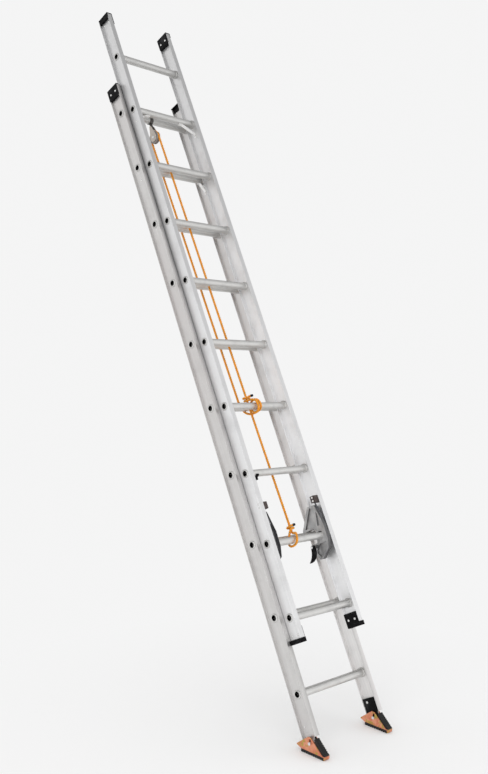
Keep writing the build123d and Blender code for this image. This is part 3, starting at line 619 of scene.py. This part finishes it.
def passivated_steel(name):
    """Plated steel, pink with drifts of paler pink and spots of yellow-green."""
    material, tree, shader = bare_material(name)
    coords = object_coords(tree)
    swirl = grain(tree, coords, scale=34.0)
    colour = blend_colour(tree, spread(tree, swirl, low=0.38, high=0.62), COPPER, COPPER_PALE)
    spots = spread(tree, grain(tree, coords, scale=62.0, detail=2.0), low=0.53, high=0.63)
    colour = tinted(tree, colour, spots, strength=0.8, tint=PASSIVATE)
    marks = use_effect(tree, handling, Vector=coords, Size=30.0, Scratch_size=(200, 90, 200))
    colour = tinted(tree, colour, marks["Scratch"], strength=0.6, tint=COPPER_SCRATCH)
    wire(tree, colour, shader["Base Color"])
    wire(tree, 0.7, shader["Metallic"])
    dull = spread(tree, swirl, low=0.3, high=0.7, out_low=0.3, out_high=0.46)
    wire(tree, dull, shader["Roughness"])
    raise_surface(tree, shader, grain(tree, coords, scale=700.0, detail=2.0), depth=0.00003)
    return material


def ribbed_rubber(name):
    """Black rubber with open pores, dusty where it rubs."""
    material, tree, shader = bare_material(name)
    coords = object_coords(tree)
    pores = grain(tree, coords, scale=1100.0, detail=2.0)
    marks = use_effect(tree, handling, Vector=coords, Size=40.0, Scratch_size=(160, 160, 160))
    colour = tinted(tree, RUBBER_BLACK, marks["Smudge"], strength=0.5, tint=RUBBER_DUST)
    wire(tree, colour, shader["Base Color"])
    dull = spread(tree, pores, low=0.3, high=0.7, out_low=0.42, out_high=0.6)
    wire(tree, dull, shader["Roughness"])
    wire(tree, 0.45, shader["Specular IOR Level"])
    raise_surface(tree, shader, pores, depth=0.00008)
    return material


def zinc_plate(name, pale, deep, rough):
    """Zinc with the faint spangle of plating."""
    material, tree, shader = bare_material(name)
    place = ladder_coords(tree)
    spangle = grain(tree, place, scale=240.0)
    marks = use_effect(tree, handling, Vector=place, Size=60.0, Scratch_size=(300, 300, 300))
    colour = blend_colour(tree, spread(tree, spangle, low=0.35, high=0.65), deep, pale)
    colour = tinted(tree, colour, marks["Smudge"], strength=0.3, tint=ZINC_SMUDGE)
    wire(tree, colour, shader["Base Color"])
    wire(tree, 0.9, shader["Metallic"])
    dull = spread(tree, spangle, low=0.3, high=0.7, out_low=rough, out_high=rough + 0.15)
    wire(tree, dull, shader["Roughness"])
    raise_surface(tree, shader, spangle, depth=0.00002)
    return material


stirrup_steel = passivated_steel("yellow_plated_steel")
shoe_rubber = ribbed_rubber("shoe_rubber")
bright_zinc = zinc_plate("bright_zinc", pale=(0.86, 0.87, 0.88, 1), deep=(0.68, 0.69, 0.70, 1),
                         rough=0.2)
for side in SIDES:
    dress(stirrup_steel, f"shoe_stirrup_{side}")
    dress(shoe_rubber, f"shoe_pad_{side}")
dress(bright_zinc, "shoe_bolts", "shoe_nuts")

# Rung locks: die-cast aluminium hooks that turn on a fly rung and drop over a base rung, with
# a black flipper on a steel pin and a strip of spring steel from an anchor on the fly rail.
CAST_PALE = (0.50, 0.50, 0.50, 1)
CAST_DEEP = (0.32, 0.32, 0.325, 1)
CAST_RUBBED = (0.66, 0.66, 0.65, 1)
CAST_SCRATCH = (0.7, 0.7, 0.69, 1)
# Painted shade on the locks' front rims, darker on the left lock than on the right.
CAST_RIM = {"left": (0.03, 0.03, 0.033, 1), "right": (0.17, 0.17, 0.173, 1)}
CAST_STRETCH = (30, 30, 16)
ANCHOR_BROWN = (0.075, 0.06, 0.057, 1)
ANCHOR_RUBBED = (0.17, 0.145, 0.14, 1)


def cast_metal(name, rim_colour):
    """Cast metal with a grainy skin, with painted shade on the faces that look to the climber."""
    material, tree, shader = bare_material(name)
    place = ladder_coords(tree)
    skin = grain(tree, place, scale=420.0, detail=4.0, rough=0.6)
    flow = grain(tree, stretched(tree, place, CAST_STRETCH), scale=1.0, detail=4.0)
    marks = use_effect(tree, handling, Vector=place, Size=34.0, Scratch_size=(120, 120, 40))
    colour = blend_colour(tree, spread(tree, flow, low=0.36, high=0.64), CAST_DEEP, CAST_PALE)
    colour = tinted(tree, colour, marks["Smudge"], strength=0.5, tint=CAST_RUBBED)
    colour = tinted(tree, colour, marks["Scratch"], strength=0.7, tint=CAST_SCRATCH)
    facing = split(tree, tree.nodes.new("ShaderNodeNewGeometry").outputs["Normal"])
    # Painted shade: faces turned towards the climber are darkened to the rim colour.
    rim = spread(tree, facing["Y"], low=-0.25, high=-0.6)
    wire(tree, blend_colour(tree, rim, colour, rim_colour), shader["Base Color"])
    wire(tree, 0.75, shader["Metallic"])
    dull = spread(tree, skin, low=0.3, high=0.7, out_low=0.42, out_high=0.62)
    wire(tree, dull, shader["Roughness"])
    raise_surface(tree, shader, skin, depth=0.00012)
    return material


spring_steel = zinc_plate("spring_steel", pale=(0.36, 0.36, 0.38, 1), deep=(0.22, 0.22, 0.24, 1),
                          rough=0.28)
for side in SIDES:
    dress(cast_metal(f"lock_casting_{side}", CAST_RIM[side]), f"rung_lock_{side}")
    dress(bright_zinc, f"flipper_pin_{side}")
    dress(black_plastic, f"lock_flipper_{side}")
dress(moulded("anchor_plastic", ANCHOR_BROWN, ANCHOR_RUBBED, rough=0.4), "spring_anchors")

# The strip narrows to its tip and lies along the CAD spring it replaces.
LEAF_WIDTH = 0.008
LEAF_THICK = 0.001
LEAF_X = 0.162
LEAF_STEPS = 14
LEAF_TIP = 0.7
LEAF_TAPER = 0.25
LEAF_END_BAND = 0.002
for side, sign in zip(SIDES, (-1, 1)):
    corners = [to_ladder @ v.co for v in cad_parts[f"lock_spring_{side}"].data.vertices]
    bottom = min(corner.z for corner in corners)
    top = max(corner.z for corner in corners)
    y_bottom = min(corner.y for corner in corners if corner.z < bottom + LEAF_END_BAND)
    y_top = min(corner.y for corner in corners if corner.z > top - LEAF_END_BAND)
    rings = []
    for step in range(LEAF_STEPS + 1):
        along = 1 - (1 - step / LEAF_STEPS) ** 2
        z = bottom + (top - bottom) * along
        y = y_bottom + (y_top - y_bottom) * along
        half = LEAF_WIDTH / 2 * (LEAF_TIP + (1 - LEAF_TIP) * min(1, along / LEAF_TAPER))
        outline = ((-half, 0), (half, 0), (half, LEAF_THICK), (-half, LEAF_THICK))
        rings.append([ladder @ Vector((sign * (LEAF_X + dx), y + dy, z)) for dx, dy in outline])
    leaf = place_object(f"lock_leaf_{side}", lofted(f"lock_leaf_{side}", rings))
    leaf.data.materials.append(spring_steel)
    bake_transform(leaf)
    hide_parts(f"lock_spring_{side}")

# Pulley: a grey nylon sheave between zinc-plated cheeks, hung by a strap bent round the top base
# rung. The plating is dull and browned by weather.
strap_zinc = zinc_plate("strap_zinc", pale=(0.16, 0.155, 0.15, 1), deep=(0.08, 0.075, 0.07, 1),
                        rough=0.42)
cheek_zinc = zinc_plate("cheek_zinc", pale=(0.66, 0.61, 0.56, 1), deep=(0.50, 0.45, 0.40, 1),
                        rough=0.36)
sheave_nylon = moulded("sheave_nylon", dark=(0.30, 0.285, 0.275, 1), rubbed=(0.42, 0.40, 0.39, 1),
                       rough=0.4)
dress(strap_zinc, "pulley_strap")
dress(cheek_zinc, "pulley_cheeks")
dress(bright_zinc, "pulley_axle")
dress(sheave_nylon, "pulley_sheave")

# Rope: three-strand orange polypropylene, 10 mm, laid with one green tracer yarn. It runs from
# the low fly rung up the front, over the sheave, down behind the rungs to the middle rung.
ROPE_LAY = 0.031
STRAND_RADIUS = 0.0029
STRAND_ORBIT = 0.0027
STRAND_SIDES = 10
STRANDS = 3
TRACER_STEPS = (0, 1)
YARNS = 6
YARN_SLANT = 2.2
FIBRE_STRETCH = (3, 60, 1)
RING_STEP = 0.0025
SPLINE_STEPS = 200
LOW_RUNG = 0.7756
MID_RUNG = 1.3852
AXLE = 2.8312
PULLEY_X = -0.029
PULLEY_RADIUS = 0.028
FRONT_START = AXLE - 0.010
LOW_END = LOW_RUNG + 0.048
MID_END = MID_RUNG + 0.054
FRONT_ROUTE = [
    (PULLEY_X, -PULLEY_RADIUS, FRONT_START),
    (-0.0279, -0.02815, FRONT_START - 0.060),
    (-0.0035, -0.0315, MID_RUNG + 0.048),
    (0.01228, -0.03285, LOW_END + 0.060),
    (0.014, -0.033, LOW_END),
]
REAR_ROUTE = [
    (PULLEY_X, -PULLEY_RADIUS, FRONT_START),
    (PULLEY_X, -PULLEY_RADIUS, AXLE + PULLEY_RADIUS),
    (PULLEY_X, PULLEY_RADIUS, AXLE + PULLEY_RADIUS),
    (PULLEY_X, PULLEY_RADIUS, AXLE - 0.050),
    (0.00348, PULLEY_RADIUS, MID_END + 0.060),
    (0.005, PULLEY_RADIUS, MID_END),
]
LOW_ROUTE = [
    (0.014, -0.033, LOW_END),
    (0.0144, -0.0332, LOW_RUNG + 0.031),
    (-0.020, -0.091, LOW_RUNG + 0.024),
    (-0.038, -0.091, LOW_RUNG - 0.026),
    (-0.042, -0.041, LOW_RUNG - 0.026),
    (-0.014, -0.040, LOW_RUNG + 0.027),
    (0.0017, -0.045, LOW_RUNG + 0.051),
    (0.0257, -0.045, LOW_RUNG + 0.054),
    (0.0257, -0.021, LOW_RUNG + 0.057),
    (0.0017, -0.021, LOW_RUNG + 0.060),
    (0.0017, -0.045, LOW_RUNG + 0.063),
    (0.027, -0.052, LOW_RUNG + 0.066),
]
MID_ROUTE = [
    (0.005, PULLEY_RADIUS, MID_END),
    (0.013, PULLEY_RADIUS, MID_RUNG - 0.014),
    (0.010, -0.093, MID_RUNG - 0.031),
    (0.004, -0.093, MID_RUNG + 0.026),
    (-0.001, -0.043, MID_RUNG + 0.030),
    (-0.005, -0.043, MID_RUNG - 0.029),
    (-0.0085, -0.093, MID_RUNG - 0.030),
    (-0.0095, -0.093, MID_RUNG + 0.026),
    (-0.0155, -0.0195, MID_RUNG + 0.040),
    (0.0085, -0.0195, MID_RUNG + 0.043),
    (0.0085, -0.0435, MID_RUNG + 0.046),
    (-0.0155, -0.0435, MID_RUNG + 0.049),
    (-0.0155, -0.0195, MID_RUNG + 0.052),
    (0.0085, -0.0195, MID_RUNG + 0.055),
    (0.016, -0.040, MID_RUNG + 0.0585),
    (0.030, -0.044, MID_RUNG + 0.0595),
]
ROPE_ORANGE = (1.0, 0.42, 0.012, 1)
ROPE_SHADE = (1.0, 0.33, 0.008, 1)
ROPE_TRACER = (0.36, 0.30, 0.04, 1)
TAPE_DARK = (0.012, 0.016, 0.022, 1)
TAPE_RUBBED = (0.05, 0.055, 0.06, 1)
TAPE_LENGTH = 0.013
TAPE_RADIUS = 0.0058
TAPE_EDGE = 0.9


def rope_fibre(name):
    """Orange film fibre: yarn ridges along each strand with painted shade in the valleys and fibre
    streaks, and a green tracer in one strand.
    """
    material, tree, shader = bare_material(name)
    laid = tree.nodes.new("ShaderNodeUVMap")
    laid.uv_map = "laid"
    axes = split(tree, laid.outputs["UV"])
    slant = calc(tree, "ADD", calc(tree, "MULTIPLY", axes["X"], YARN_SLANT), axes["Y"])
    yarn = calc(tree, "SINE", calc(tree, "MULTIPLY", slant, 2 * math.pi * YARNS))
    fibre = grain(tree, stretched(tree, laid.outputs["UV"], FIBRE_STRETCH), scale=1.0)
    ridge = spread(tree, calc(tree, "ADD", yarn, fibre), low=-0.6, high=1.2)
    # Painted shade in the valleys between the yarn ridges, broken by fibre streaks.
    colour = blend_colour(tree, ridge, ROPE_SHADE, ROPE_ORANGE)
    marked = tree.nodes.new("ShaderNodeAttribute")
    marked.attribute_name = "tracer"
    colour = tinted(tree, colour, marked.outputs["Fac"], strength=0.85, tint=ROPE_TRACER)
    wire(tree, colour, shader["Base Color"])
    dull = spread(tree, fibre, low=0.3, high=0.7, out_low=0.38, out_high=0.6)
    wire(tree, dull, shader["Roughness"])
    wire(tree, 0.15, shader["Sheen Weight"])
    raise_surface(tree, shader, yarn, depth=0.0002)
    return material


def route_points(name, route):
    """Even points along a route's smooth spline."""
    curve = bpy.data.curves.new(name, "CURVE")
    curve.dimensions = "3D"
    spline = curve.splines.new("NURBS")
    spline.points.add(len(route) - 1)
    for point, spot in zip(spline.points, route):
        point.co = (*(ladder @ Vector(spot)), 1)
    spline.order_u = 3
    spline.use_endpoint_u = True
    spline.resolution_u = SPLINE_STEPS
    holder = place_object(name, curve)
    depsgraph = bpy.context.evaluated_depsgraph_get()
    line = bpy.data.meshes.new_from_object(holder.evaluated_get(depsgraph))
    fine = [vertex.co.copy() for vertex in line.vertices]
    bpy.data.objects.remove(holder)
    total = sum((b - a).length for a, b in zip(fine, fine[1:]))
    gap = total / max(2, round(total / RING_STEP))
    kept = [fine[0]]
    walked = 0.0
    for a, b in zip(fine, fine[1:]):
        length = (b - a).length
        while walked + length >= gap * len(kept) - 1e-9 and length > 0:
            kept.append(a.lerp(b, min(1.0, (gap * len(kept) - walked) / length)))
        walked += length
    return kept, total


def sweep_frames(points):
    """A frame at each point that turns with the line but not about it."""
    frames = []
    side = None
    for index, point in enumerate(points):
        ahead = points[min(index + 1, len(points) - 1)]
        behind = points[max(index - 1, 0)]
        way = (ahead - behind).normalized()
        side = way.orthogonal() if side is None else side - way * side.dot(way)
        side.normalize()
        frames.append((point, side, way.cross(side)))
    return frames


def laid_rope(name, route, finish):
    """Three strands laid round a route's spline, as one mesh, with the route's points and length."""
    points, total = route_points(name + "_route", route)
    frames = sweep_frames(points)
    gap = total / (len(points) - 1)
    corners, faces, tracer, spots = [], [], [], []
    for strand in range(STRANDS):
        first = len(corners)
        for index, (point, side, up) in enumerate(frames):
            turn = 2 * math.pi * (index * gap / ROPE_LAY + strand / STRANDS)
            out = side * math.cos(turn) + up * math.sin(turn)
            around = up * math.cos(turn) - side * math.sin(turn)
            for step in range(STRAND_SIDES):
                angle = 2 * math.pi * step / STRAND_SIDES
                corners.append(point + out * (STRAND_ORBIT + STRAND_RADIUS * math.cos(angle))
                               + around * STRAND_RADIUS * math.sin(angle))
                tracer.append(1.0 if strand == 0 and step in TRACER_STEPS else 0.0)
                spots.append((index * gap / ROPE_LAY, step / STRAND_SIDES))
        for index in range(len(frames) - 1):
            row = first + index * STRAND_SIDES
            next_row = row + STRAND_SIDES
            for step in range(STRAND_SIDES):
                after = (step + 1) % STRAND_SIDES
                faces.append((row + step, row + after, next_row + after, next_row + step))
        last = first + (len(frames) - 1) * STRAND_SIDES
        faces.append(tuple(reversed(range(first, first + STRAND_SIDES))))
        faces.append(tuple(range(last, last + STRAND_SIDES)))
    mesh = bpy.data.meshes.new(name)
    mesh.from_pydata(corners, [], faces)
    marks = mesh.attributes.new("tracer", "FLOAT", "POINT")
    marks.data.foreach_set("value", tracer)
    layer = mesh.uv_layers.new(name="laid")
    for loop in mesh.loops:
        layer.data[loop.index].uv = spots[loop.vertex_index]
    mesh.shade_smooth()
    mesh.materials.append(finish)
    return place_object(name, mesh), points, total


def tape_whipping(name, points, finish):
    """Tape wound round a rope's cut end, closed over the end."""
    frames = [place for place in sweep_frames(points) if (place[0] - points[-1]).length < TAPE_LENGTH]
    rings = []
    for index, (point, side, up) in enumerate(frames):
        radius = TAPE_RADIUS * (TAPE_EDGE if index in (0, len(frames) - 1) else 1.0)
        rings.append([point + (side * y + up * z) * radius for y, z in circle(ROUND_STEPS)])
    tape = place_object(name, lofted(name, rings))
    tape.data.materials.append(finish)
    return tape


orange_rope = rope_fibre("orange_rope")
whipping_tape = moulded("whipping_tape", TAPE_DARK, TAPE_RUBBED, rough=0.3)
for name, route, body in (("rope_front_run", FRONT_ROUTE, "base"), ("rope_rear_run", REAR_ROUTE, "base"),
                          ("rope_low_tie", LOW_ROUTE, "fly"), ("rope_mid_tie", MID_ROUTE, "base")):
    rope, points, total = laid_rope("laid_" + name, route, orange_rope)
    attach(rope, body)
    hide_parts(name)
    tails = []
    if name.endswith("tie"):
        tails.append(tape_whipping(name + "_tape", points, whipping_tape))
        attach(tails[0], body)
    if route is FRONT_ROUTE:
        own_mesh(rope)

# Stage: a plain pale floor that keeps the shadow and fades into a white surround. Reflections
# show that surround too, darker overhead.
BACKDROP = (0.91, 0.91, 0.91, 1)
ZENITH = (0.34, 0.34, 0.34, 1)
AMBIENT = 0.94
FLOOR_PALE = (0.90, 0.90, 0.90, 1)
FLOOR_SHADE = (0.87, 0.87, 0.87, 1)
FLOOR_RADIUS = 14
FLOOR_SIDES = 96
FLOOR_NEAR = 0.5
FLOOR_FAR = 1.7


def seen_or_mirrored(tree):
    """1 for rays from the camera and for reflected or transmitted ones."""
    rays = tree.nodes.new("ShaderNodeLightPath").outputs
    seen = calc(tree, "MAXIMUM", rays["Is Camera Ray"], rays["Is Glossy Ray"])
    return calc(tree, "MAXIMUM", seen, rays["Is Transmission Ray"])


def mix_shaders(tree, mask, first, second, output):
    """Send the first shader to the output where the mask is 0 and the second where it is 1."""
    node = tree.nodes.new("ShaderNodeMixShader")
    for source, socket in zip((mask, first, second), node.inputs):
        tree.links.new(source, socket)
    tree.links.new(node.outputs[0], tree.nodes[output].inputs["Surface"])


floor_mesh = bpy.data.meshes.new("floor")
floor_shape = bmesh.new()
bmesh.ops.create_circle(floor_shape, cap_ends=True, segments=FLOOR_SIDES, radius=FLOOR_RADIUS)
floor_shape.to_mesh(floor_mesh)
floor_shape.free()
floor = place_object("floor", floor_mesh)
floor_material, floor_tree, floor_shader = bare_material("pale_floor")
floor_coords = object_coords(floor_tree)
mottle = spread(floor_tree, grain(floor_tree, floor_coords, scale=3.0), low=0.3, high=0.7)
floor_colour = tinted(floor_tree, FLOOR_PALE, mottle, strength=0.06, tint=FLOOR_SHADE)
wire(floor_tree, floor_colour, floor_shader["Base Color"])
wire(floor_tree, 0.9, floor_shader["Roughness"])
wire(floor_tree, 0.0, floor_shader["Specular IOR Level"])
away = floor_tree.nodes.new("ShaderNodeVectorMath")
away.operation = "LENGTH"
floor_tree.links.new(floor_coords, away.inputs[0])
far = spread(floor_tree, away.outputs["Value"], FLOOR_NEAR, FLOOR_FAR)
fade = calc(floor_tree, "MULTIPLY", far, seen_or_mirrored(floor_tree))
glow = floor_tree.nodes.new("ShaderNodeEmission")
glow.inputs["Color"].default_value = BACKDROP
mix_shaders(floor_tree, fade, floor_tree.nodes["Principled BSDF"].outputs[0], glow.outputs[0],
            "Material Output")
floor_mesh.materials.append(floor_material)

world = bpy.data.worlds.new("studio")
bpy.context.scene.world = world
world.use_nodes = True
sky = world.node_tree
around = sky.nodes["Background"]
around.inputs["Color"].default_value = (1, 1, 1, 1)
around.inputs["Strength"].default_value = AMBIENT
white = sky.nodes.new("ShaderNodeBackground")
skyward = split(sky, sky.nodes.new("ShaderNodeTexCoord").outputs["Generated"])
mirrored = sky.nodes.new("ShaderNodeLightPath").outputs["Is Glossy Ray"]
overhead = calc(sky, "MULTIPLY", spread(sky, skyward["Z"], low=0.3, high=0.8), mirrored)
sky.links.new(blend_colour(sky, overhead, BACKDROP, ZENITH), white.inputs["Color"])
mix_shaders(sky, seen_or_mirrored(sky), around.outputs[0], white.outputs[0], "World Output")

# Lamps: a broad soft key from the climber's left and above, and a smaller fill from the front.
KEY = {"place": (-4.4, -2.8, 4.4), "power": 70, "size": 7.0}
FILL = {"place": (1.2, -5.8, 2.6), "power": 24, "size": 4.5}
LAMP_TARGET = Vector((0, 0.7, 1.5))
for name, setting in (("key", KEY), ("fill", FILL)):
    lamp = bpy.data.lights.new(name, "AREA")
    lamp.energy = setting["power"]
    lamp.size = setting["size"]
    lamp_object = place_object(name, lamp)
    lamp_object.location = setting["place"]
    aim = LAMP_TARGET - Vector(setting["place"])
    lamp_object.rotation_euler = aim.to_track_quat("-Z", "Y").to_euler()

# Camera: at eye height to the climber's left, fitted to the photo by the rungs' ends.
CAMERA_LENS = 43.814
CAMERA_SENSOR = 36
CAMERA_PLACE = (-2.96597, -2.28104, 1.58236)
CAMERA_TURN = (87.1618, -2.7576, -45.0415)
camera = bpy.data.cameras.new("camera")
camera.lens = CAMERA_LENS
camera.sensor_width = CAMERA_SENSOR
camera_object = place_object("camera", camera)
camera_object.location = CAMERA_PLACE
camera_object.rotation_euler = [math.radians(angle) for angle in CAMERA_TURN]
bpy.context.scene.camera = camera_object
bpy.context.scene.view_settings.view_transform = "Standard"

bpy.context.view_layer.update()
